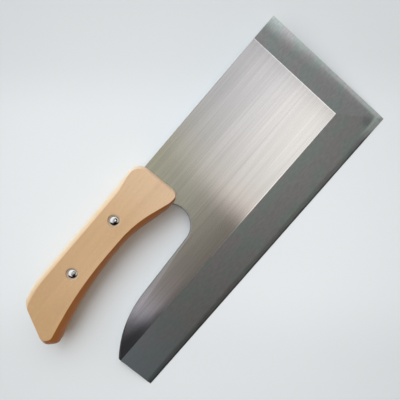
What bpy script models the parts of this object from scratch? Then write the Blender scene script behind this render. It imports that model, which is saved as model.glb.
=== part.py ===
"""Soba knife: a broad single-bevel blade with its handle over the heel, lying on its flat back.

Every piece is modelled in the knife's own flat frame: x runs from the heel to the front end, y from
the cutting edge to the spine, and z out of the bevelled face, with z = 0 in the middle of the steel.
One empty then tips the whole knife into the attitude in which it lies on a table, on its cutting edge
and the lower rim of the left handle scale.
"""

import math
from collections import namedtuple

import bmesh
import bpy
from mathutils import Matrix, Vector

MM = 0.001

# Blade plate
BLADE_LENGTH = 240 * MM
BLADE_HEIGHT = 99.4 * MM
BLADE_THICKNESS = 2.6 * MM

# Bevels, ground on the right face only
EDGE_BEVEL_WIDTH = 27.1 * MM
FRONT_BEVEL_WIDTH = 19.6 * MM
EDGE_FACET_WIDTH = 3.8 * MM
FRONT_FACET_WIDTH = 3.2 * MM
FACET_THICKNESS = 0.75 * MM
EDGE_THICKNESS = 0.2 * MM

# Finger gap under the handle, and the heel tongue below it
GAP_REACH = 107.2 * MM
GAP_WIDTH = 21.9 * MM
GAP_END_RADIUS = 14.2 * MM
GAP_END_CURL = math.radians(30)
GAP_EDGE_EASE = 1 * MM
TONGUE_SLOPE = math.radians(3)
HEEL_DROP = 14.3 * MM
HEEL_LEAN = 0.9 * MM
HEEL_ARC_RADIUS = 80 * MM

# Handle outline, shared by the two scales and the tang
HANDLE_LENGTH = 133.8 * MM
HANDLE_OVERLAP = 6.1 * MM
HANDLE_RISE = 5.5 * MM
FRONT_LEAN = 0.9 * MM
FLARE_HEIGHT = 34.9 * MM
FLARE_LENGTH = 12.5 * MM
FLARE_SLANT_LENGTH = 28 * MM
WAIST_HEIGHT = 27.5 * MM
WAIST_LENGTH = 47 * MM
TOP_FLARE_LENGTH = 11 * MM
TOP_FLARE_SLANT_LENGTH = 12 * MM
TOP_FLARE_RISE = 0.3 * MM
REAR_DROP = 2.6 * MM
REAR_DROP_LENGTH = 9.3 * MM
BUTT_HEIGHT = 29.7 * MM
BUTT_LEAN = 16.2 * MM
CHAMFER_LENGTH = 6 * MM
CHAMFER_HEIGHT = 5.8 * MM

# Rounding of the handle outline's corners
FRONT_LOWER_RADIUS = 7 * MM
FRONT_UPPER_RADIUS = 9 * MM
TOP_FLARE_RADIUS = 20 * MM
REAR_DROP_RADIUS = 60 * MM
BUTT_UPPER_RADIUS = 3.5 * MM
BUTT_LOWER_RADIUS = 3 * MM
CHAMFER_RADIUS = 4 * MM
BELLY_RADIUS = 275 * MM
WAIST_RADIUS = 80 * MM
FLARE_RADIUS = 50 * MM

# Handle scales, and how far each rounded side draws in from the tang to the flat face
SCALE_THICKNESS = 8.6 * MM
SEAT_GAP = 0.3 * MM
TANG_INSET = 0.25 * MM
SIDE_LAND = 0.5 * MM
TOP_ROUNDING = 3.5 * MM
TOP_REAR_ROUNDING = 4.2 * MM
BELLY_REAR_ROUNDING = 5.4 * MM
BELLY_ROUNDING = 3.4 * MM
SLANT_WAIST_ROUNDING = 5.2 * MM
SLANT_FLARE_ROUNDING = 3.2 * MM
FLARE_ROUNDING = 1.8 * MM
END_ROUNDING = 0.8 * MM
ROUNDING_TURN = math.radians(50)

# Two-part rivets: a headed pin from the right, pressed into a headed sleeve from the left
FRONT_RIVET_SETBACK = 39.3 * MM
RIVET_SPACING = 43.7 * MM
REAR_RIVET_DROP = 15 * MM
FRONT_RIVET_DROP = 13.3 * MM
RECESS_DIAMETER = 8.3 * MM
RECESS_DEPTH = 1.4 * MM
HEAD_DIAMETER = 6 * MM
HEAD_RIM = 0.4 * MM
DOME_HEIGHT = 1.3 * MM
HEAD_SEAT_GAP = 0.2 * MM
SLEEVE_DIAMETER = 4.2 * MM
SLEEVE_FLOOR = 1.5 * MM
PIN_DIAMETER = 2.4 * MM
FIT_GAP = 0.3 * MM
END_GAP = 0.5 * MM

# How finely round shapes are divided
CHORD_ERROR = 0.03 * MM
ROUND_SIDES = 40
DOME_STEPS = 6
EASE_STEPS = 3
ROUNDING_STEPS = 6
SHARP_ANGLE = math.radians(30)
MERGE_DISTANCE = 0.001 * MM
FILLET_ROOM = 0.98
CUTTER_MARGIN = 1 * MM

HALF_STEEL = BLADE_THICKNESS / 2
BOND_Z = HALF_STEEL + SEAT_GAP
FACE_Z = BOND_Z + SCALE_THICKNESS
RECESS_Z = FACE_Z - RECESS_DEPTH
HOLE_DIAMETER = SLEEVE_DIAMETER + 2 * FIT_GAP
BORE_DIAMETER = PIN_DIAMETER + 2 * FIT_GAP
HANDLE_FRONT = GAP_REACH + HANDLE_OVERLAP
HANDLE_TOP = BLADE_HEIGHT + HANDLE_RISE
FLARE_Y = HANDLE_TOP - FLARE_HEIGHT
WAIST_Y = HANDLE_TOP - WAIST_HEIGHT
TONGUE_Y = FLARE_Y - GAP_WIDTH
FRONT_RIVET_X = HANDLE_FRONT - FRONT_RIVET_SETBACK
RIVETS = {
    "rear_rivet": Vector((FRONT_RIVET_X - RIVET_SPACING, HANDLE_TOP - REAR_RIVET_DROP, 0)),
    "front_rivet": Vector((FRONT_RIVET_X, HANDLE_TOP - FRONT_RIVET_DROP, 0)),
}

Corner = namedtuple("Corner", "point radius inset_before inset_after")


def clear_scene():
    for obj in list(bpy.data.objects):
        bpy.data.objects.remove(obj, do_unlink=True)


def principled(name, color, roughness, metallic):
    material = bpy.data.materials.new(name)
    material.use_nodes = True
    shader = material.node_tree.nodes["Principled BSDF"]
    shader.inputs["Base Color"].default_value = (*color, 1)
    shader.inputs["Roughness"].default_value = roughness
    shader.inputs["Metallic"].default_value = metallic
    return material


def new_object(name, bm, material=None):
    """An object of this mesh, with its faces outward, round surfaces smooth and edges crisp."""
    bmesh.ops.recalc_face_normals(bm, faces=bm.faces)
    mesh = bpy.data.meshes.new(name)
    bm.to_mesh(mesh)
    bm.free()
    mesh.shade_smooth()
    mesh.set_sharp_from_angle(angle=SHARP_ANGLE)
    if material:
        mesh.materials.append(material)
    obj = bpy.data.objects.new(name, mesh)
    bpy.context.collection.objects.link(obj)
    return obj


def cut(obj, cutter):
    """Takes the cutter's shape out of the object."""
    boolean = obj.modifiers.new("cut_" + cutter.name, "BOOLEAN")
    boolean.operation = "DIFFERENCE"
    boolean.solver = "EXACT"
    boolean.object = cutter


def turned(name, profile, material=None):
    """A solid turned round the z axis from (radius, z) points that start and end on the axis."""
    bm = bmesh.new()
    points = [bm.verts.new((radius, 0, z)) for radius, z in profile]
    edges = [bm.edges.new(pair) for pair in zip(points, points[1:])]
    bmesh.ops.spin(
        bm,
        geom=points + edges,
        axis=(0, 0, 1),
        cent=(0, 0, 0),
        angle=math.tau,
        steps=ROUND_SIDES,
        use_merge=True,
    )
    bmesh.ops.remove_doubles(bm, verts=bm.verts, dist=MERGE_DISTANCE)
    return new_object(name, bm, material)


def arc_steps(radius, turn):
    """How many chords an arc needs to stay within the chord error."""
    return max(2, math.ceil(abs(turn) / (2 * math.acos(1 - CHORD_ERROR / radius))))


def arc(center, radius, start, end):
    """Points of an arc from one angle to another, both ends included."""
    steps = arc_steps(radius, end - start)
    angles = [start + (end - start) * i / steps for i in range(steps + 1)]
    return [center + radius * Vector((math.cos(angle), math.sin(angle))) for angle in angles]


def fillet(before, corner, after, reach, steps):
    """Points of the arc that rounds a corner, touching both of its sides at this reach from it."""
    start = corner + (before - corner).normalized() * reach
    end = corner + (after - corner).normalized() * reach
    middle = (start + end) / 2
    flatness = (start - middle).length_squared / (corner - middle).length_squared
    center = middle + (middle - corner) * flatness
    spoke = start - center
    turn = math.copysign(spoke.angle(end - center), spoke.cross(end - center))
    return [center + Matrix.Rotation(turn * i / steps, 2) @ spoke for i in range(steps + 1)]


def neighbours(points):
    """Each point of a closed outline with the one before it and the one after it."""
    return list(zip(points[-1:] + points[:-1], points, points[1:] + points[:1]))


def rounded_outline(corners, radii, steps):
    """A closed outline through these corners, each rounded by its radius as far as its two sides allow."""
    around = neighbours(corners)
    reaches = [radius * math.tan((b - a).angle(c - b) / 2) for radius, (a, b, c) in zip(radii, around)]
    room = []
    for i, (_, corner, after) in enumerate(around):
        wanted = reaches[i] + reaches[(i + 1) % len(corners)]
        room.append(min(1, FILLET_ROOM * (after - corner).length / wanted))
    outline = []
    for i, (before, corner, after) in enumerate(around):
        outline += fillet(before, corner, after, reaches[i] * min(room[i - 1], room[i]), steps[i])
    return outline


def handle_corners():
    """Corners of the handle's outline at the tang, anticlockwise from the lower front end."""
    flare_x = HANDLE_FRONT - FLARE_LENGTH
    waist_x = flare_x - FLARE_SLANT_LENGTH
    top_flare_x = HANDLE_FRONT - TOP_FLARE_LENGTH
    top_flare_y = HANDLE_TOP + TOP_FLARE_RISE
    butt_x = HANDLE_FRONT - HANDLE_LENGTH
    front_upper = Vector((HANDLE_FRONT - FRONT_LEAN, top_flare_y))
    butt_upper = Vector((butt_x + BUTT_LEAN, HANDLE_TOP - REAR_DROP))
    butt_lower = Vector((butt_x, butt_upper.y - BUTT_HEIGHT))
    chamfer = butt_lower + Vector((CHAMFER_LENGTH, -CHAMFER_HEIGHT))
    top_start = Vector((top_flare_x - TOP_FLARE_SLANT_LENGTH, HANDLE_TOP))
    drop_start = Vector((butt_upper.x + REAR_DROP_LENGTH, HANDLE_TOP))
    return [
        Corner(Vector((HANDLE_FRONT, FLARE_Y)), FRONT_LOWER_RADIUS, FLARE_ROUNDING, END_ROUNDING),
        Corner(front_upper, FRONT_UPPER_RADIUS, END_ROUNDING, FLARE_ROUNDING),
        Corner(Vector((top_flare_x, top_flare_y)), TOP_FLARE_RADIUS, FLARE_ROUNDING, FLARE_ROUNDING),
        Corner(top_start, TOP_FLARE_RADIUS, TOP_ROUNDING, TOP_ROUNDING),
        Corner(drop_start, REAR_DROP_RADIUS, TOP_ROUNDING, TOP_ROUNDING),
        Corner(butt_upper, BUTT_UPPER_RADIUS, TOP_REAR_ROUNDING, END_ROUNDING),
        Corner(butt_lower, BUTT_LOWER_RADIUS, END_ROUNDING, BELLY_REAR_ROUNDING),
        Corner(chamfer, CHAMFER_RADIUS, BELLY_REAR_ROUNDING, BELLY_REAR_ROUNDING),
        Corner(Vector((waist_x - WAIST_LENGTH, WAIST_Y)), BELLY_RADIUS, BELLY_ROUNDING, BELLY_ROUNDING),
        Corner(Vector((waist_x, WAIST_Y)), WAIST_RADIUS, BELLY_ROUNDING, SLANT_WAIST_ROUNDING),
        Corner(Vector((flare_x, FLARE_Y)), FLARE_RADIUS, SLANT_FLARE_ROUNDING, FLARE_ROUNDING),
    ]


def inward_shift(before, corner, after, inset_before, inset_after):
    """The move that draws a corner in from its two sides by these distances."""
    side_before = (corner - before).normalized()
    side_after = (after - corner).normalized()
    normal_before = Vector((-side_before.y, side_before.x))
    normal_after = Vector((-side_after.y, side_after.x))
    cosine = normal_before.dot(normal_after)
    weight_before = (inset_before - cosine * inset_after) / (1 - cosine**2)
    weight_after = (inset_after - cosine * inset_before) / (1 - cosine**2)
    return weight_before * normal_before + weight_after * normal_after


def handle_outline(share=0, inset=0):
    """The handle's outline, drawn in by this share of each side's rounding and by an inset all round."""
    corners = handle_corners()
    around = neighbours([corner.point for corner in corners])
    points = []
    for corner, (before, point, after) in zip(corners, around):
        inset_before = inset + share * corner.inset_before
        inset_after = inset + share * corner.inset_after
        points.append(point + inward_shift(before, point, after, inset_before, inset_after))
    radii = [corner.radius for corner in corners]
    steps = [arc_steps(radius, (b - a).angle(c - b)) for radius, (a, b, c) in zip(radii, around)]
    return rounded_outline(points, radii, steps)


def crossing(path, other):
    """Where a path first crosses another: the index of the last point before it on each, and the point."""
    for index, (a, b) in enumerate(zip(path, path[1:])):
        for other_index, (c, d) in enumerate(zip(other, other[1:])):
            spread = (b - a).cross(d - c)
            if spread == 0:
                continue
            here = (c - a).cross(d - c) / spread
            there = (c - a).cross(b - a) / spread
            if 0 <= here < 1 and 0 <= there < 1:
                return index, other_index, a + here * (b - a)
    raise ValueError("the handle doesn't meet the blade")


def gap_edge():
    """The steel's edge along the finger gap, from inside the handle down and back to the heel."""
    along = Vector((math.cos(TONGUE_SLOPE), math.sin(TONGUE_SLOPE)))
    upward = Vector((-along.y, along.x))
    center = Vector((GAP_REACH - GAP_END_RADIUS, TONGUE_Y + GAP_END_RADIUS))
    round_end = arc(center, GAP_END_RADIUS, GAP_END_CURL, TONGUE_SLOPE - math.pi / 2)
    # Above its round end the edge runs straight on, up to the middle of the handle's front.
    climb = (FLARE_Y + HANDLE_TOP) / 2 - round_end[0].y
    end_top = round_end[0] + climb * Vector((-math.tan(GAP_END_CURL), 1))
    # The heel arc starts at the top of the heel and touches the tongue's straight top.
    tongue_start = round_end[-1] - (round_end[-1].x - HEEL_LEAN) / along.x * along
    heel_top = tongue_start - Vector((0, HEEL_DROP))
    rise = HEEL_DROP * along.x
    run = math.sqrt(rise * (2 * HEEL_ARC_RADIUS - rise))
    center = heel_top + run * along + (rise - HEEL_ARC_RADIUS) * upward
    upright = math.pi / 2 + TONGUE_SLOPE
    turn = math.acos(1 - rise / HEEL_ARC_RADIUS)
    return [end_top] + round_end + arc(center, HEEL_ARC_RADIUS, upright, upright + turn)


def blade_outline():
    """The steel's outline, anticlockwise from the heel, and its last stretch, along the finger gap."""
    outline = handle_outline(inset=TANG_INSET)
    # The walk round the tang starts inside the blade, on the front end of the handle.
    front = outline.index(max(outline, key=lambda point: point.x))
    walk = outline[front:] + outline[:front]
    edge = gap_edge()
    corners = [Vector(place) for place in ((0, 0), (BLADE_LENGTH, 0), (BLADE_LENGTH, BLADE_HEIGHT))]
    spine_index, _, spine_point = crossing(walk, [corners[-1], Vector((0, BLADE_HEIGHT))])
    tang_index, gap_index, gap_point = crossing(walk, edge)
    gap = [gap_point] + edge[gap_index + 1 :]
    return corners + [spine_point] + walk[spine_index + 1 : tang_index + 1] + gap, gap


def loft(bm, rings):
    """Closes a stack of equal rings of points into a solid, and returns its vertices ring by ring."""
    stack = [[bm.verts.new(point) for point in ring] for ring in rings]
    for low, high in zip(stack, stack[1:]):
        for a, b, c, d in zip(low, low[1:] + low[:1], high[1:] + high[:1], high):
            bm.faces.new((a, b, c, d))
    bm.faces.new(stack[0])
    bm.faces.new(stack[-1])
    bmesh.ops.recalc_face_normals(bm, faces=bm.faces)
    return stack


def grind(bm, start, end):
    """Grinds the right face away above the slope from one (x, y, z) point down to another."""
    fall = end - start
    across = Vector((fall.y, -fall.x, 0))
    slope = across.cross(fall).normalized()
    geometry = bm.verts[:] + bm.edges[:] + bm.faces[:]
    result = bmesh.ops.bisect_plane(
        bm, geom=geometry, dist=MERGE_DISTANCE, plane_co=start, plane_no=slope, clear_outer=True
    )
    rim = [element for element in result["geom_cut"] if isinstance(element, bmesh.types.BMEdge)]
    bmesh.ops.holes_fill(bm, edges=rim)


def blade(material):
    """The whole steel: blade, heel tongue and full tang, with its bevels and eased finger gap."""
    outline, gap = blade_outline()
    bm = bmesh.new()
    low, high = loft(bm, [[(*point, z) for point in outline] for z in (-HALF_STEEL, HALF_STEEL)])
    eased = []
    for ring in (low, high):
        stretch = ring[-len(gap) :]
        eased += [bm.edges.get(pair) for pair in zip(stretch, stretch[1:])]
    ease = min(GAP_EDGE_EASE, FILLET_ROOM * HALF_STEEL)
    bmesh.ops.bevel(bm, geom=eased, offset=ease, segments=EASE_STEPS, profile=0.5, affect="EDGES")
    facet_z = FACET_THICKNESS - HALF_STEEL
    edge_z = EDGE_THICKNESS - HALF_STEEL
    facet_x = BLADE_LENGTH - FRONT_FACET_WIDTH
    grind(bm, Vector((0, EDGE_BEVEL_WIDTH, HALF_STEEL)), Vector((0, EDGE_FACET_WIDTH, facet_z)))
    grind(bm, Vector((BLADE_LENGTH - FRONT_BEVEL_WIDTH, 0, HALF_STEEL)), Vector((facet_x, 0, facet_z)))
    grind(bm, Vector((0, EDGE_FACET_WIDTH, facet_z)), Vector((0, 0, edge_z)))
    grind(bm, Vector((facet_x, 0, facet_z)), Vector((BLADE_LENGTH, 0, edge_z)))
    return new_object("blade", bm, material)


def handle_scale(name, side, material):
    """One wooden scale, flat on its bond face and its outer face, its sides rounded between the two."""
    levels = [(0, BOND_Z)]
    for i in range(ROUNDING_STEPS + 1):
        turn = ROUNDING_TURN * i / ROUNDING_STEPS
        share = (1 - math.cos(turn)) / (1 - math.cos(ROUNDING_TURN))
        climb = math.sin(turn) / math.sin(ROUNDING_TURN)
        levels.append((share, BOND_Z + SIDE_LAND + climb * (SCALE_THICKNESS - SIDE_LAND)))
    bm = bmesh.new()
    loft(bm, [[(*point, side * z) for point in handle_outline(share)] for share, z in levels])
    return new_object(name, bm, material)


def rivet_head():
    """Profile of a domed rivet head, from its crown to the rim of its underside."""
    radius = HEAD_DIAMETER / 2
    under = RECESS_Z + HEAD_SEAT_GAP
    angles = [math.pi / 2 * i / DOME_STEPS for i in range(DOME_STEPS + 1)]
    dome = [(radius * math.sin(a), under + HEAD_RIM + DOME_HEIGHT * math.cos(a)) for a in angles]
    return dome + [(radius, under)], under


def rivet_pin(name, place, material):
    profile, under = rivet_head()
    tip = SLEEVE_FLOOR + END_GAP - under
    radius = PIN_DIAMETER / 2
    pin = turned(name, profile + [(radius, under), (radius, tip), (0, tip)], material)
    pin.location = place
    return pin


def rivet_sleeve(name, place, material):
    profile, under = rivet_head()
    mouth = END_GAP - RECESS_Z
    floor = under - SLEEVE_FLOOR
    outer = SLEEVE_DIAMETER / 2
    bore = BORE_DIAMETER / 2
    tube = [(outer, under), (outer, mouth), (bore, mouth), (bore, floor), (0, floor)]
    sleeve = turned(name, profile + tube, material)
    sleeve.location = place
    sleeve.rotation_euler.x = math.pi
    return sleeve


def rivet_hole(name, place):
    """Cutter for one rivet: a hole through tang and scales, with a recess in both faces."""
    recess = RECESS_DIAMETER / 2
    hole = HOLE_DIAMETER / 2
    top = FACE_Z + CUTTER_MARGIN
    half = [(0, top), (recess, top), (recess, RECESS_Z), (hole, RECESS_Z)]
    cutter = turned(name, half + [(radius, -z) for radius, z in reversed(half)])
    cutter.location = place
    cutter.hide_render = True
    cutter.display_type = "WIRE"
    return cutter


def lay_down(rest, pieces):
    """Tips the knife onto its cutting edge and its lower handle rim, and centres it over the origin."""
    lowest_rim = FLARE_Y + FLARE_ROUNDING
    rest.rotation_euler.x = math.atan((FACE_Z - HALF_STEEL) / lowest_rim)
    bpy.context.view_layer.update()
    points = [piece.matrix_world @ vertex.co for piece in pieces for vertex in piece.data.vertices]
    xs, ys, zs = zip(*points)
    rest.location = (-(min(xs) + max(xs)) / 2, -(min(ys) + max(ys)) / 2, -min(zs))


def build():
    clear_scene()
    steel = principled("brushed_steel", (0.56, 0.56, 0.55), 0.3, 1)
    wood = principled("pale_wood", (0.58, 0.38, 0.22), 0.5, 0)
    nickel = principled("polished_nickel", (0.8, 0.79, 0.77), 0.12, 1)
    plate = blade(steel)
    scales = [handle_scale("right_handle_scale", 1, wood), handle_scale("left_handle_scale", -1, wood)]
    pieces = [plate] + scales
    cutters = []
    for name, place in RIVETS.items():
        pieces.append(rivet_pin(name + "_pin", place, nickel))
        pieces.append(rivet_sleeve(name + "_sleeve", place, nickel))
        cutter = rivet_hole(name + "_hole", place)
        cutters.append(cutter)
        for drilled in [plate] + scales:
            cut(drilled, cutter)
    rest = bpy.data.objects.new("knife_at_rest", None)
    bpy.context.collection.objects.link(rest)
    for obj in pieces + cutters:
        obj.parent = rest
    lay_down(rest, pieces)


build()
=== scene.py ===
"""The soba knife's looks: a brushed blade with satin bevels, a pale wooden handle and polished rivets."""

import math

import bmesh
import bpy
from mathutils import Matrix, Vector


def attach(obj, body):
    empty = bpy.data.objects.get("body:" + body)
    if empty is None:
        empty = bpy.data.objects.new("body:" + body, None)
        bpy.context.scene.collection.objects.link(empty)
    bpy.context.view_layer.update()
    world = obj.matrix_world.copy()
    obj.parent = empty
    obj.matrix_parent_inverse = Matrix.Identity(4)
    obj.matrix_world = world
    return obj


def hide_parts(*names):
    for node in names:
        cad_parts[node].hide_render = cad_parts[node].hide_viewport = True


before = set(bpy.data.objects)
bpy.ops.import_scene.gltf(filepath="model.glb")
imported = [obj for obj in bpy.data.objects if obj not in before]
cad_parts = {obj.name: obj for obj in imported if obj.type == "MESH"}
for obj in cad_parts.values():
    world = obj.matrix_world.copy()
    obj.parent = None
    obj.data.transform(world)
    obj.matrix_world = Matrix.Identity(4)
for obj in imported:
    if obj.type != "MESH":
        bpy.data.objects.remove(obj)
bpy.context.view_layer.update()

MM = 0.001

# How the knife lies. Its own frame has x along the edge, y up the blade, z out of its right face and z = 0 mid-steel
REST_TILT = 0.1233264
REST_PLACE = Vector((-110.114, -52.479, 1.290)) * MM

# The photograph's camera, in the knife's frame
CAMERA_PLACE = Vector((131.8, 85.75, 270.86)) * MM
CAMERA_VIEW = Vector((-0.0462, -0.1031, -0.9936))
CAMERA_UP = Vector((0.7562, 0.6463, -0.1022))
LENS_MM = 37
SENSOR_MM = 36

# Refining of the solids' surfaces
WELD_DISTANCE = 0.002 * MM
COPLANAR_ANGLE = math.radians(0.5)
FLAT_CREASE = math.radians(1.2)
FACING_UP = 0.9
STEEL_CREASE = math.radians(40)
WOOD_CREASE = math.radians(20)
STEEL_EDGE = 0.1 * MM
GROUND_EDGE = 1.2 * MM
WOOD_EDGE = 0.35 * MM
WOOD_RIM = 1.4 * MM
EDGE_SEGMENTS = 4
TANGENT_MAP_SIZE = 100 * MM

# Which of the blade's faces are ground and which are eased, by their tip from level in degrees
GROUND_TIP_LEAST = 2
GROUND_TIP_MOST = 12
EASED_TIP_MOST = 88

# Which of the handle's edges are the upper rim, by their faces' normals along y, and what lies in a countersink
RIM_FACE = 0.4
RIM_NEIGHBOUR = -0.1
COUNTERSINK_RADIUS = 4.2 * MM
COUNTERSINK_FACE_AREA = 60 * MM * MM

# The blade's ground areas, in its own frame
BEVEL_LINE_Y = 27.1 * MM
BEVEL_LINE_X = 220.4 * MM
# Painted highlight lines along the flat's side of the bevel lines: their width and how much they brighten
HIGHLIGHT_LINE_WIDTH = 0.7 * MM
HIGHLIGHT_LINE_GAIN = 0.4
# How much the painted shade along the cutting edge darkens it
EDGE_SHADE_LOSS = 0.6
CORNER_DARK_SPOT = (231.2 * MM, 7.8 * MM, 0)

# The materials' colours
FLAT_DARK, FLAT_PALE = (0.615, 0.61, 0.592, 1), (0.695, 0.688, 0.67, 1)
BEVEL_GREEN, BEVEL_GREY = (0.374, 0.424, 0.4, 1), (0.414, 0.407, 0.404, 1)
BEVEL_BLUE = (0.374, 0.48, 0.53, 1)
EASED_DARK, EASED_PALE = (0.36, 0.36, 0.35, 1), (0.4, 0.4, 0.39, 1)
# The wood's tone from rear to front, paler towards the front: partly its own tone and partly a painted reflection of
# the bright room
WOOD_REAR, WOOD_MIDDLE, WOOD_FRONT = (0.58, 0.37, 0.187, 1), (0.66, 0.436, 0.244, 1), (0.76, 0.54, 0.35, 1)
WOOD_STREAK = (0.3, 0.15, 0.06, 1)
WOOD_FLECK = (0.8, 0.6, 0.38, 1)
WOOD_PORE = (0.42, 0.25, 0.12, 1)
# The butt end: darker end grain, with painted shade
WOOD_BUTT = (0.33, 0.2, 0.08, 1)
# Painted shade under the belly
WOOD_BELLY_SHADE = (0.36, 0.118, 0.016, 1)
# Painted highlight on the upper rim
WOOD_RIM_HIGHLIGHT = (0.76, 0.66, 0.5, 1)
# The countersinks' end grain, painted pale to lighten the shade in them
END_GRAIN_DARK, END_GRAIN_PALE = (0.66, 0.52, 0.37, 1), (0.84, 0.7, 0.54, 1)
NICKEL_DARK, NICKEL_PALE = (0.74, 0.73, 0.7, 1), (0.86, 0.85, 0.82, 1)
# The rivets' painted dark reflection on their flank towards the heel and the edge
NICKEL_DARK_REFLECTION = (0.05, 0.044, 0.038, 1)
WOOD_SHEEN = (1, 0.85, 0.7, 1)

# The materials' other looks
WOOD_GLOSS = 0.35
STREAK_SHARE = 0.12
PORE_DEPTH = 0.04 * MM
BRUSHING = 0.95
QUARTER_TURN = 0.25

# Most of a noise's values lie in the first range, and its peaks stand out over the second
NOISE_RANGE = (0.3, 0.7)
NOISE_PEAKS = (0.62, 0.72)

# A mark on a material begins at its range's first place and is whole at the second. Two more numbers, where there are
# any, are what it does at those places, instead of 0 and 1. Places are in mm in the knife's frame
BACK_TO_FACE = (-0.5, 0.5)
# Painted reflection by the heel, darker below a slanted border and paler above it: the border's lean, its range and
# how far from the heel it reaches
HEEL_REFLECTION_SLANT = 4
HEEL_REFLECTION_BY_SLANT, HEEL_REFLECTION_BY_X = (143, 182, 0.5, -0.45), (60, 28)
# Painted shade above the edge bevel's line, towards the heel
LINE_SHADE_BY_Y, LINE_SHADE_BY_X, LINE_SHADE_END = (32.5, 29), (90, 50, 0, 0.27), (33, 43)
# Where the painted highlight line along the edge bevel's line begins and fades
EDGE_HIGHLIGHT_BEGINNING, EDGE_HIGHLIGHT_FADING = (80, 120), (150, 180, 1, 0.3)
BLUE_BY_X = (60, 0, 0, 0.5)
RAGGEDNESS = 1.6 * MM
# Painted shade along the cutting edge, then over the edge facet
EDGE_SHADE_BY_Y, EDGE_SHADE_BY_X = (2.6, 1), (232, 222)
FACET_BY_Y, FACET_BY_X = (5.2, 3), (50, 110, -0.3, -0.2)
# Painted reflections on the bevels: paler along the front end, at the front lower corner and on the front facet
OUTWARD_LEAN = (55, 95, 0, 2.8 * MM)
OUTWARD_BY_X, OUTWARD_BY_Y = (231, 242), (0, 100, 0.18, 1)
CORNER_BY_Y, CORNER_BY_X, CORNER_END = (6.6, 5.2), (216, 233, 0, 0.72), (238.5, 236, 0.5, 1)
FRONT_FACET_BY_X, FRONT_FACET_BY_Y = (235.8, 238.5), (70, 10, 0, 0.65)
DARK_SPOT_BY_DISTANCE = (1, 6, 0.78, 1)
# Painted shade on the eased edge by the heel
EASED_SHADE_BY_X = (18, 34, 0.2, 1)
MIDDLE_WOOD_BY_X, FRONT_WOOD_BY_X = (-20, 50), (65, 115)

# The same by how far a surface's normal leans along x, then y, z and PHOTO_UP
# The butt end's darker end grain, with painted shade
BUTT_LEAN = (-0.45, -0.85, 0, 0.7)
# Painted shade under the belly, then a painted highlight on the upper rim
BELLY_SHADE_LEAN, RIM_HIGHLIGHT_LEAN = (-0.2, -0.45, 0, 0.97), (0.6, 1.02, 0, 0.9)
# The painted belly shade and rim highlight go only where a surface faces out of the right side
SHOWN_LEAN = (0, 0.25)
# The rivets' painted dark reflection
DARK_REFLECTION_LEAN = (-0.14, -0.28)

# The level direction past the spine and the front end, which is up in the photograph
PHOTO_UP = (0.76, 0.65, 0)

# Studio
FLOOR_SIZE = 40
FLOOR_COLOR = (0.763, 0.786, 0.789, 1)
# The floor's painted light: brightest round FLOOR_BRIGHTEST and dimming away from it with random clouds, and painted
# light and shade in a band across it near the knife, plain further off
FLOOR_DIMMING = 0.84
FLOOR_BRIGHTEST = (-30 * MM, 10 * MM, 0)
FLOOR_FADING = (80, 240)
FLOOR_CLOUDING = 0.2
FLOOR_EDGEWARD, FLOOR_SPINEWARD = (-100, -45, 0.965, 1.04), (65, 110, 1, 0.93)
FLOOR_PLAIN = (160, 400)
BACKDROP_COLOR = (0.7, 0.735, 0.75, 1)
SUN_TURN = math.radians(44)
SUN_HEIGHT = math.radians(46)
SUN_SPREAD = math.radians(40)
SUN_STRENGTH = 0.72
SUN_COLOR = (0.86, 1, 1.08)

# The room's colours, by where they stand
REAR_EDGEWARD, REAR_SPINEWARD = (1.22, 0.95, 0.87, 1), (0.99, 1.02, 0.88, 1)
FRONT_EDGEWARD, FRONT_SPINEWARD = (1.035, 0.998, 0.955, 1), (0.995, 0.985, 1.055, 1)
HEEL_COLOR = (1.01, 0.98, 1.14, 1)
MIDDLE_COLOR = (0.85, 0.8, 0.45, 1)
WINDOW_COLOR = (0.97, 1, 1.03, 1)
EDGEWARD_COLOR = (1.5, 1, 0.62, 1)
WARM_GLOW, COOL_GLOW = (1.25, 1, 0.76, 1), (0.95, 1, 1.05, 1)

# Soft patches over the blade: where each is by u and v, and how far it reaches along them. Cards also have a level
CARDS = (
    (-0.067, -0.192, 0.251, 0.139, 0.618),
    (0.311, -0.111, 0.146, 0.103, 0.978),
    (-0.334, -0.217, 0.209, 0.122, 0.495),
)
MIDDLE_PATCH = (-0.03, -0.03, 0.28, 0.16)
REAR_PATCH = (-0.8, -0.1, 0.25, 0.5)
REAR_PATCH_LEVEL = 1.4

# The ceiling's levels by u and v, as ranges like those of the materials' marks
REAR_BY_U, REAR_BY_V, REAR_SPINEWARD_LEVEL = (-0.4, -0.1, 0.238, 0.1), (-0.367, 0.088), 0.597
FRONT_BY_V, FRONT_BY_U = (-0.45, 0.1, 1.88, 0.129), (0.282, 0.472, 1, 0.037)
BORDER_STEEP, BORDER_GENTLE = (-0.054, 0.032, 0, 0.75), (-0.029, 0.245, 0, 0.25)
BESIDE_BY_U, BESIDE_BY_V = (0.69, 0.9), (-0.7, 0.1, 0.2, 1)

# The dark patch beyond the heel, whose front side is slanted
DARK_SLANT, DARK_PIVOT = 0.107, 0.36
DARK_FRONT, DARK_REAR, DARK_BY_V = (-0.366, -0.384), (-0.768, -0.618), (-0.065, -0.215)
DARK_LOSS = 0.92

# Where the room is dark towards the edge and bright towards the window, and the levels there, for matte surfaces and
# then for what the steel mirrors
SHADE_BY_V, SHADE_LEVELS = (-0.547, -0.347), (0.3, 0.035)
WINDOW_BY_V, WINDOW_LEVELS = (0, 0.34), (1.7, 1.1)

# The walls' levels by how far a direction leans along y and x
WALLS_BY_Y, WALLS_BY_X = (-0.4, 0.4, 0.6, 1.35), (-0.6, 0, 0.15, 1)

# Between these heights the ceiling gives way to the walls, and the plain backdrop takes over in reflections
WALL_BAND = (0.3, 0.52)
BACKDROP_BAND = (0.66, 0.5)

# The dark onlooker, by how far a direction leans along PHOTO_UP
ONLOOKER = (-0.65, -0.45, 0.06, 1)

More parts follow.
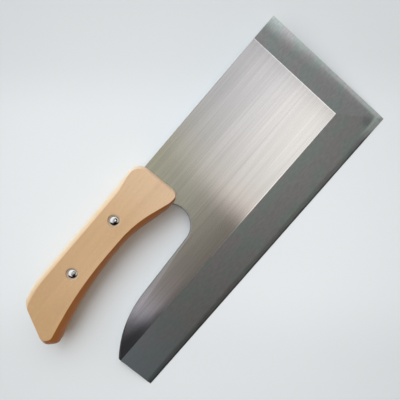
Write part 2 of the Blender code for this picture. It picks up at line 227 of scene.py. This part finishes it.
# Where the room's colours take over, by u and v, and for the walls by how far a direction leans along x and y together
SPINEWARD_BY_V, HEEL_BY_V, HEEL_BY_U = (-0.3, -0.2), (-0.21, -0.17, 0, 0.1), (-0.4, -0.25)
REAR_TO_FRONT, FAR_REAR = (-0.1, 0.1), (-0.8, -1.2)
WINDOW_COLOR_BY_V, EDGEWARD_COLOR_BY_V = (0.1, 0.3), (-0.35, -0.55)
WARM_TO_COOL = (0, 0.5)

# Directions lower than this count as this low, so that u and v stay small
LEAST_HEIGHT = 0.05


def knife_matrix():
    return Matrix.Translation(REST_PLACE) @ Matrix.Rotation(REST_TILT, 4, "X")


# Node building

def add(tree, kind, inputs=None, **settings):
    """A new node with its settings made and its inputs linked or filled."""
    made = tree.nodes.new(kind)
    for name, value in settings.items():
        setattr(made, name, value)
    for socket, value in (inputs or {}).items():
        if isinstance(value, bpy.types.NodeSocket):
            tree.links.new(value, made.inputs[socket])
        else:
            made.inputs[socket].default_value = value
    return made


def calc(tree, operation, first, second):
    return add(tree, "ShaderNodeMath", {0: first, 1: second}, operation=operation).outputs[0]


def product(tree, first, *others):
    for other in others:
        first = calc(tree, "MULTIPLY", first, other)
    return first


def total(tree, first, *others):
    for other in others:
        first = calc(tree, "ADD", first, other)
    return first


def rest_of(tree, share):
    return calc(tree, "SUBTRACT", 1, share)


def parts(tree, vector):
    return add(tree, "ShaderNodeSeparateXYZ", {0: vector}).outputs


def measure(tree, operation, vector, other=(0, 0, 0)):
    """A vector's DOT_PRODUCT with the other, its DISTANCE from it or its own LENGTH."""
    return add(tree, "ShaderNodeVectorMath", {0: vector, 1: other}, operation=operation).outputs["Value"]


def span(tree, value, low, high, out_low=0.0, out_high=1.0):
    """The value's way from low to high as a smooth step between the two outputs."""
    inputs = {"Value": value, "From Min": low, "From Max": high, "To Min": out_low, "To Max": out_high}
    return add(tree, "ShaderNodeMapRange", inputs, interpolation_type="SMOOTHSTEP").outputs[0]


def span_mm(tree, length, low, high, out_low=0.0, out_high=1.0):
    """The same for a length in metres, with low and high in mm."""
    return span(tree, length, low * MM, high * MM, out_low, out_high)


def blend(tree, share, first, second):
    """The first number at a share of 0 and the second at 1."""
    return add(tree, "ShaderNodeMix", {0: share, 2: first, 3: second}).outputs[0]


def tint(tree, share, first, second):
    """The first colour at a share of 0 and the second at 1."""
    return add(tree, "ShaderNodeMix", {0: share, 6: first, 7: second}, data_type="RGBA").outputs[2]


def scaled(tree, color, factor):
    return add(tree, "ShaderNodeVectorMath", {0: color, "Scale": factor}, operation="SCALE").outputs[0]


def noise(tree, place, stretch, detail):
    """Noise whose lumps measure about stretch, in mm along x, y and z."""
    lumps = add(tree, "ShaderNodeVectorMath", {0: place, 1: [1 / (s * MM) for s in stretch]}, operation="MULTIPLY")
    return add(tree, "ShaderNodeTexNoise", {"Vector": lumps.outputs[0], "Scale": 1, "Detail": detail}).outputs["Fac"]


def new_material(name, metallic, roughness):
    material = bpy.data.materials.new(name)
    material.use_nodes = True
    tree = material.node_tree
    shader = tree.nodes["Principled BSDF"]
    shader.inputs["Metallic"].default_value = metallic
    shader.inputs["Roughness"].default_value = roughness
    place = add(tree, "ShaderNodeTexCoord").outputs["Object"]
    return material, tree, shader, place


def bumped(tree, shader, height, distance):
    bump = add(tree, "ShaderNodeBump", {"Height": height, "Distance": distance, "Strength": 1})
    tree.links.new(bump.outputs[0], shader.inputs["Normal"])


# Materials

def brushed_steel():
    """Long fine scratches along the blade, with painted highlight lines on the bevel lines, painted shade above the
    edge bevel's line, and a painted dark and pale reflection by the heel.
    """
    material, tree, shader, place = new_material("brushed_steel", 1, 0.16)
    fine = noise(tree, place, (50, 0.5, 0.5), 0)
    medium = noise(tree, place, (120, 2.6, 2.6), 1)
    broad = noise(tree, place, (160, 9, 9), 1)
    streaks = blend(tree, 0.25, blend(tree, 0.6, fine, medium), broad)
    color = tint(tree, span(tree, streaks, 0.36, 0.64), FLAT_DARK, FLAT_PALE)
    x, y, z = parts(tree, place)
    # Painted reflection by the heel, darker below the slanted border and paler above it
    slant = total(tree, x, product(tree, y, HEEL_REFLECTION_SLANT))
    heel_reflection = product(tree, span_mm(tree, slant, *HEEL_REFLECTION_BY_SLANT), span_mm(tree, x, *HEEL_REFLECTION_BY_X))
    # Painted shade above the edge bevel's line, towards the heel
    line_shade = product(tree, span_mm(tree, y, *LINE_SHADE_BY_Y), span_mm(tree, x, *LINE_SHADE_BY_X))
    line_shade = product(tree, line_shade, span_mm(tree, x, *LINE_SHADE_END))
    # Painted highlights: thin bright lines along the flat's side of the front and the edge bevel lines
    front_highlight = span(tree, x, BEVEL_LINE_X - HIGHLIGHT_LINE_WIDTH, BEVEL_LINE_X - HIGHLIGHT_LINE_WIDTH / 2)
    edge_highlight = span(tree, y, BEVEL_LINE_Y + HIGHLIGHT_LINE_WIDTH, BEVEL_LINE_Y + HIGHLIGHT_LINE_WIDTH / 2)
    edge_highlight = product(tree, edge_highlight, span_mm(tree, x, *EDGE_HIGHLIGHT_BEGINNING))
    edge_highlight = product(tree, edge_highlight, span_mm(tree, x, *EDGE_HIGHLIGHT_FADING))
    highlight_lines = product(tree, calc(tree, "MAXIMUM", front_highlight, edge_highlight), HIGHLIGHT_LINE_GAIN)
    painted_light = calc(tree, "SUBTRACT", highlight_lines, total(tree, heel_reflection, line_shade))
    # The painted highlights, shade and reflection lie on the right face only, for the back face is ground plain
    painted_light = product(tree, span_mm(tree, z, *BACK_TO_FACE), painted_light)
    color = scaled(tree, color, total(tree, 1, painted_light))
    tree.links.new(color, shader.inputs["Base Color"])
    tree.links.new(span(tree, broad, *NOISE_RANGE, 0.15, 0.17), shader.inputs["Roughness"])
    shader.inputs["Anisotropic"].default_value = BRUSHING
    shader.inputs["Anisotropic Rotation"].default_value = QUARTER_TURN
    tangent = add(tree, "ShaderNodeTangent", direction_type="UV_MAP", uv_map="along_edge")
    tree.links.new(tangent.outputs[0], shader.inputs["Tangent"])
    return material


def ground_steel():
    """The bevels' fine grinding: clouded and cooler by the heel, with painted shade along the edge and over its facet,
    painted reflections pale along the front end and at the front corner, and darker round a spot by the front corner.
    """
    material, tree, shader, place = new_material("ground_steel", 1, 0.42)
    clouds = noise(tree, place, (16, 9, 9), 2)
    scratches = noise(tree, place, (3.5, 1, 1), 2)
    color = tint(tree, span(tree, clouds, 0.38, 0.62), BEVEL_GREEN, BEVEL_GREY)
    color = scaled(tree, color, span(tree, scratches, *NOISE_RANGE, 0.93, 1.07))
    ragged = product(tree, noise(tree, place, (12, 2, 2), 2), RAGGEDNESS)
    x, y, _ = parts(tree, place)
    color = tint(tree, span_mm(tree, x, *BLUE_BY_X), color, BEVEL_BLUE)
    height = total(tree, y, ragged)
    # Painted shade along the cutting edge (rim) and over the edge facet (facet)
    rim = product(tree, span_mm(tree, height, *EDGE_SHADE_BY_Y), span_mm(tree, x, *EDGE_SHADE_BY_X))
    facet = product(tree, span_mm(tree, height, *FACET_BY_Y), span_mm(tree, x, *FACET_BY_X))
    # Painted reflections: paler along the front end, at the front lower corner and on the front facet
    reach = total(tree, x, span_mm(tree, y, *OUTWARD_LEAN))
    outward = product(tree, span_mm(tree, reach, *OUTWARD_BY_X), span_mm(tree, y, *OUTWARD_BY_Y))
    corner = product(tree, span_mm(tree, height, *CORNER_BY_Y), span_mm(tree, x, *CORNER_BY_X))
    corner = product(tree, corner, span_mm(tree, x, *CORNER_END))
    front_facet = product(tree, span_mm(tree, x, *FRONT_FACET_BY_X), span_mm(tree, y, *FRONT_FACET_BY_Y))
    # Darker round a spot by the front corner
    dark_spot = span_mm(tree, measure(tree, "DISTANCE", place, CORNER_DARK_SPOT), *DARK_SPOT_BY_DISTANCE)
    gain = total(tree, facet, outward, calc(tree, "MAXIMUM", corner, front_facet), dark_spot)
    gain = product(tree, gain, rest_of(tree, product(tree, rim, EDGE_SHADE_LOSS)))
    tree.links.new(scaled(tree, color, gain), shader.inputs["Base Color"])
    return material


def eased_steel():
    """The rubbed edge round the finger gap, with painted shade by the heel."""
    material, tree, shader, place = new_material("eased_steel", 1, 0.55)
    clouds = noise(tree, place, (20, 8, 8), 3)
    color = tint(tree, span(tree, clouds, *NOISE_RANGE), EASED_DARK, EASED_PALE)
    along = parts(tree, place)[0]
    # Painted shade on the eased edge by the heel
    tree.links.new(scaled(tree, color, span_mm(tree, along, *EASED_SHADE_BY_X)), shader.inputs["Base Color"])
    return material


def pale_wood():
    """Pale tan hardwood with a faint figure along it, paler towards the front, partly by a painted reflection, darker
    at the butt in end grain and painted shade, brown under the belly in painted shade, and pale on the upper rim in a
    painted highlight.
    """
    material, tree, shader, place = new_material("pale_wood", 0, 0.45)
    figure = noise(tree, place, (90, 6, 6), 3)
    pores = noise(tree, place, (3, 0.18, 0.18), 1)
    flecks = noise(tree, place, (1.6, 0.4, 0.4), 1)
    along = parts(tree, place)[0]
    # Paler towards the front: partly the wood's own tone and partly a painted reflection
    ground = tint(tree, span_mm(tree, along, *MIDDLE_WOOD_BY_X), WOOD_REAR, WOOD_MIDDLE)
    ground = tint(tree, span_mm(tree, along, *FRONT_WOOD_BY_X), ground, WOOD_FRONT)
    streak = tint(tree, STREAK_SHARE, ground, WOOD_STREAK)
    color = tint(tree, span(tree, figure, 0.35, 0.65), streak, ground)
    color = tint(tree, span(tree, flecks, *NOISE_PEAKS, 0, 0.25), color, WOOD_FLECK)
    color = tint(tree, span(tree, pores, *NOISE_PEAKS, 0, 0.3), color, WOOD_PORE)
    endward, upward, outward = parts(tree, add(tree, "ShaderNodeTexCoord").outputs["Normal"])
    # The painted belly shade and rim highlight go only where a surface faces out of the right side
    shown = span(tree, outward, *SHOWN_LEAN)
    # Darker at the butt end: end grain, with painted shade
    color = tint(tree, span(tree, endward, *BUTT_LEAN), color, WOOD_BUTT)
    # Painted shade under the belly
    color = tint(tree, product(tree, shown, span(tree, upward, *BELLY_SHADE_LEAN)), color, WOOD_BELLY_SHADE)
    # Painted highlight on the upper rim
    color = tint(tree, product(tree, shown, span(tree, upward, *RIM_HIGHLIGHT_LEAN)), color, WOOD_RIM_HIGHLIGHT)
    tree.links.new(color, shader.inputs["Base Color"])
    shader.inputs["Specular IOR Level"].default_value = WOOD_GLOSS
    shader.inputs["Specular Tint"].default_value = WOOD_SHEEN
    bumped(tree, shader, pores, -PORE_DEPTH)
    return material


def lightened_countersink():
    """The rivets' countersinks, cut across the fibres and painted pale to lighten the shade in them."""
    material, tree, shader, place = new_material("lightened_countersink", 0, 0.5)
    fibres = noise(tree, place, (0.6, 0.6, 0.6), 2)
    tree.links.new(tint(tree, fibres, END_GRAIN_DARK, END_GRAIN_PALE), shader.inputs["Base Color"])
    return material


def polished_nickel():
    """The rivet heads: bright crowns, with a painted dark reflection on the flank towards the heel and the edge."""
    material, tree, shader, place = new_material("polished_nickel", 1, 0.1)
    haze = noise(tree, place, (0.8, 0.8, 0.8), 2)
    color = tint(tree, haze, NICKEL_DARK, NICKEL_PALE)
    # Painted dark reflection on the flank facing away from PHOTO_UP
    lean = measure(tree, "DOT_PRODUCT", add(tree, "ShaderNodeTexCoord").outputs["Normal"], PHOTO_UP)
    color = tint(tree, span(tree, lean, *DARK_REFLECTION_LEAN), color, NICKEL_DARK_REFLECTION)
    tree.links.new(color, shader.inputs["Base Color"])
    tree.links.new(span(tree, haze, *NOISE_RANGE, 0.07, 0.14), shader.inputs["Roughness"])
    return material


# Pieces

def solid_copy(node):
    """The CAD solid in the knife's own frame, its facets joined where they are flat."""
    bm = bmesh.new()
    bm.from_mesh(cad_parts[node].data)
    bm.transform(knife_matrix().inverted())
    bmesh.ops.remove_doubles(bm, verts=bm.verts, dist=WELD_DISTANCE)
    bmesh.ops.dissolve_limit(bm, angle_limit=COPLANAR_ANGLE, verts=bm.verts, edges=bm.edges)
    bmesh.ops.recalc_face_normals(bm, faces=bm.faces)
    return bm


def parted(edge, crease):
    """Whether an edge parts two surfaces. Between faces that look up or down, even a slight turn does."""
    if len(edge.link_faces) != 2:
        return False
    level = all(abs(face.normal.z) > FACING_UP for face in edge.link_faces)
    return edge.calc_face_angle() > (FLAT_CREASE if level else crease)


def finish_piece(bm, name, node, materials, crease, softness=None):
    """Puts the shape in the scene, on the body and in the place of its CAD solid, its creases softened."""
    creases = bm.edges.layers.float.new("bevel_weight_edge")
    widest = max(softness(edge) for edge in bm.edges) if softness else 0
    for edge in bm.edges:
        edge.smooth = not parted(edge, crease)
        if widest and not edge.smooth:
            edge[creases] = softness(edge) / widest
    for face in bm.faces:
        face.smooth = True
    along = bm.loops.layers.uv.new("along_edge")
    for face in bm.faces:
        for loop in face.loops:
            loop[along].uv = loop.vert.co.xy / TANGENT_MAP_SIZE
    mesh = bpy.data.meshes.new(name)
    bm.to_mesh(mesh)
    bm.free()
    for material in materials:
        mesh.materials.append(material)
    piece = bpy.data.objects.new(name, mesh)
    piece.matrix_world = knife_matrix()
    bpy.context.scene.collection.objects.link(piece)
    if widest:
        bevel = piece.modifiers.new("softened_edges", "BEVEL")
        bevel.width = widest
        bevel.segments = EDGE_SEGMENTS
        bevel.limit_method = "WEIGHT"
        bevel.harden_normals = True
    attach(piece, "root")
    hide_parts(node)


def tip(face):
    """How far a face of the right side is tipped from level, in degrees."""
    return math.degrees(face.normal.angle(Vector((0, 0, 1))))


def is_ground(face):
    return GROUND_TIP_LEAST < tip(face) < GROUND_TIP_MOST


def blade():
    """The steel, with its finish told by how each face of the right side is ground."""
    bm = solid_copy("blade")
    for face in bm.faces:
        if is_ground(face):
            face.material_index = 1
        elif GROUND_TIP_MOST < tip(face) < EASED_TIP_MOST:
            face.material_index = 2
    materials = [brushed_steel(), ground_steel(), eased_steel()]

    def softness(edge):
        return GROUND_EDGE if all(is_ground(face) for face in edge.link_faces) else STEEL_EDGE

    finish_piece(bm, "steel_blade", "blade", materials, STEEL_CREASE, softness)


def handle():
    """The two scales and the rivets, whose countersinks show end grain painted pale against their shade."""
    rivets = ("rear_rivet_pin", "rear_rivet_sleeve", "front_rivet_pin", "front_rivet_sleeve")
    axes = []
    nickel = polished_nickel()
    for node in rivets:
        bm = solid_copy(node)
        axes.append(sum((vert.co.xy for vert in bm.verts), Vector((0, 0))) / len(bm.verts))
        finish_piece(bm, "turned_" + node, node, [nickel], STEEL_CREASE)

    def is_countersunk(face):
        middle = face.calc_center_median().xy
        return face.calc_area() < COUNTERSINK_FACE_AREA and any(
            (middle - axis).length < COUNTERSINK_RADIUS for axis in axes)

    def softness(edge):
        upward = all(face.normal.y > RIM_NEIGHBOUR for face in edge.link_faces)
        rim = any(face.normal.y > RIM_FACE for face in edge.link_faces)
        return WOOD_RIM if upward and rim else WOOD_EDGE

    wood = [pale_wood(), lightened_countersink()]
    for side in ("right", "left"):
        node = side + "_handle_scale"
        bm = solid_copy(node)
        for face in bm.faces:
            face.material_index = 1 if is_countersunk(face) else 0
        finish_piece(bm, side + "_wooden_scale", node, wood, WOOD_CREASE, softness)


# Studio

def floor():
    half = FLOOR_SIZE / 2
    mesh = bpy.data.meshes.new("floor")
    mesh.from_pydata([(-half, -half, 0), (half, -half, 0), (half, half, 0), (-half, half, 0)], [], [(0, 1, 2, 3)])
    stage = bpy.data.objects.new("floor", mesh)
    bpy.context.scene.collection.objects.link(stage)
    material, tree, shader, place = new_material("paper_floor", 0, 0.8)
    # Painted light: the floor is brightest round FLOOR_BRIGHTEST and dims away from it, with random clouds in the
    # dimming
    clouds = noise(tree, place, (120, 120, 120), 1)
    away = measure(tree, "DISTANCE", place, FLOOR_BRIGHTEST)
    share = span_mm(tree, away, *FLOOR_FADING, 0, 1 - FLOOR_CLOUDING)
    share = total(tree, share, product(tree, clouds, FLOOR_CLOUDING))
    dim = [FLOOR_DIMMING * part for part in FLOOR_COLOR[:3]] + [1]
    color = tint(tree, share, FLOOR_COLOR, dim)
    # Painted light and shade across the floor: a paler band through the knife, darker to either side, plain further
    # off
    beyond = measure(tree, "DOT_PRODUCT", place, PHOTO_UP)
    shade = product(tree, span_mm(tree, beyond, *FLOOR_EDGEWARD), span_mm(tree, beyond, *FLOOR_SPINEWARD))
    color = scaled(tree, color, blend(tree, span_mm(tree, away, *FLOOR_PLAIN), shade, 1))
    tree.links.new(color, shader.inputs["Base Color"])
    mesh.materials.append(material)


def window_light():
    """A wide soft light from beyond the spine and the front end, like a window."""
    data = bpy.data.lights.new("window", "SUN")
    data.angle = SUN_SPREAD
    data.energy = SUN_STRENGTH
    data.color = SUN_COLOR
    light = bpy.data.objects.new("window", data)
    light.visible_glossy = False
    level = math.cos(SUN_HEIGHT)
    toward = Vector((math.sin(SUN_TURN) * level, math.cos(SUN_TURN) * level, math.sin(SUN_HEIGHT)))
    light.rotation_euler = toward.to_track_quat("Z", "Y").to_euler()
    bpy.context.scene.collection.objects.link(light)


def near(tree, u, v, place_u, place_v, reach_u, reach_v):
    """A soft share that is 1 at this place and 0 beyond its reach."""
    off_u = calc(tree, "DIVIDE", calc(tree, "SUBTRACT", u, place_u), reach_u)
    off_v = calc(tree, "DIVIDE", calc(tree, "SUBTRACT", v, place_v), reach_v)
    off = add(tree, "ShaderNodeCombineXYZ", {0: off_u, 1: off_v}).outputs[0]
    return span(tree, measure(tree, "LENGTH", off), 1, 0)


def room_level(tree, toward, u, v, glossy):
    """How bright the room is by direction."""
    # Over the rear half the ceiling is dim, and beyond the front end it is bright
    rear = span(tree, u, *REAR_BY_U)
    rear = blend(tree, span(tree, v, *REAR_BY_V), rear, REAR_SPINEWARD_LEVEL)
    front = product(tree, span(tree, v, *FRONT_BY_V), span(tree, u, *FRONT_BY_U))
    border = total(tree, span(tree, u, *BORDER_STEEP), span(tree, u, *BORDER_GENTLE))
    level = blend(tree, border, rear, front)
    for *where, card in CARDS:
        level = blend(tree, near(tree, u, v, *where), level, card)
    beside = product(tree, span(tree, u, *BESIDE_BY_U), span(tree, v, *BESIDE_BY_V))
    level = blend(tree, beside, level, 1)
    # The side towards the edge is dark, most of all where the steel mirrors it
    shade = blend(tree, glossy, *SHADE_LEVELS)
    level = product(tree, level, span(tree, v, *SHADE_BY_V, shade, 1))
    # A dark patch stands beyond the heel, and a pale one behind it
    slanted = total(tree, u, product(tree, total(tree, v, DARK_PIVOT), DARK_SLANT))
    patch = product(tree, span(tree, slanted, *DARK_FRONT), span(tree, u, *DARK_REAR))
    patch = product(tree, patch, span(tree, v, *DARK_BY_V))
    level = product(tree, level, rest_of(tree, product(tree, patch, DARK_LOSS)))
    level = blend(tree, near(tree, u, v, *REAR_PATCH), level, REAR_PATCH_LEVEL)
    # The window side is bright, less so where the steel mirrors it
    level = blend(tree, span(tree, v, *WINDOW_BY_V), level, blend(tree, glossy, *WINDOW_LEVELS))
    walls = product(tree, span(tree, toward[1], *WALLS_BY_Y), span(tree, toward[0], *WALLS_BY_X))
    return blend(tree, span(tree, toward[2], *WALL_BAND), walls, level)


def room_color(tree, toward, u, v, glossy):
    """The tint of the room's light by direction."""
    spineward = span(tree, v, *SPINEWARD_BY_V)
    rear = tint(tree, spineward, REAR_EDGEWARD, REAR_SPINEWARD)
    heelward = calc(tree, "SUBTRACT", u, span(tree, v, *HEEL_BY_V))
    rear = tint(tree, span(tree, heelward, *HEEL_BY_U), HEEL_COLOR, rear)
    front = tint(tree, spineward, FRONT_EDGEWARD, FRONT_SPINEWARD)
    color = tint(tree, span(tree, u, *REAR_TO_FRONT), rear, front)
    color = tint(tree, near(tree, u, v, *MIDDLE_PATCH), color, MIDDLE_COLOR)
    color = tint(tree, span(tree, u, *FAR_REAR), color, WARM_GLOW)
    color = tint(tree, span(tree, v, *WINDOW_COLOR_BY_V), color, WINDOW_COLOR)
    edgeward = product(tree, rest_of(tree, glossy), span(tree, v, *EDGEWARD_COLOR_BY_V))
    color = tint(tree, edgeward, color, EDGEWARD_COLOR)
    # Low down, the window side is cool and the near side warm
    glow = tint(tree, span(tree, total(tree, toward[1], toward[0]), *WARM_TO_COOL), WARM_GLOW, COOL_GLOW)
    return tint(tree, span(tree, toward[2], *WALL_BAND), glow, color)


def room():
    """The room's light by direction: u and v tell how far it leans along the blade and up it."""
    world = bpy.data.worlds.new("room")
    bpy.context.scene.world = world
    world.use_nodes = True
    tree = world.node_tree
    direction = add(tree, "ShaderNodeTexCoord").outputs["Generated"]
    toward = parts(tree, direction)
    rays = add(tree, "ShaderNodeLightPath").outputs
    glossy = rays["Is Glossy Ray"]
    height = calc(tree, "MAXIMUM", toward[2], LEAST_HEIGHT)
    u = calc(tree, "DIVIDE", toward[0], height)
    v = calc(tree, "DIVIDE", toward[1], height)
    level = room_level(tree, toward, u, v, glossy)
    color = room_color(tree, toward, u, v, glossy)
    # The camera sees a plain backdrop, and so do low reflections, but for a dark onlooker on the near side
    mirrored = product(tree, glossy, span(tree, toward[2], *BACKDROP_BAND))
    beyond = measure(tree, "DOT_PRODUCT", direction, PHOTO_UP)
    mirrored = product(tree, mirrored, span(tree, beyond, *ONLOOKER))
    seen = calc(tree, "MAXIMUM", rays["Is Camera Ray"], mirrored)
    tree.links.new(blend(tree, seen, level, 1), tree.nodes["Background"].inputs["Strength"])
    tree.links.new(tint(tree, seen, color, BACKDROP_COLOR), tree.nodes["Background"].inputs["Color"])


def camera():
    knife = knife_matrix()
    turn = knife.to_3x3()
    view = (turn @ CAMERA_VIEW).normalized()
    right = view.cross(turn @ CAMERA_UP).normalized()
    up = right.cross(view)
    data = bpy.data.cameras.new("camera")
    data.sensor_width = SENSOR_MM
    data.lens = LENS_MM
    viewer = bpy.data.objects.new("camera", data)
    axes = Matrix((right, up, -view)).transposed()
    viewer.matrix_world = Matrix.Translation(knife @ CAMERA_PLACE) @ axes.to_4x4()
    bpy.context.scene.collection.objects.link(viewer)
    bpy.context.scene.camera = viewer


blade()
handle()
floor()
room()
window_light()
camera()
bpy.context.scene.view_settings.view_transform = "Standard"
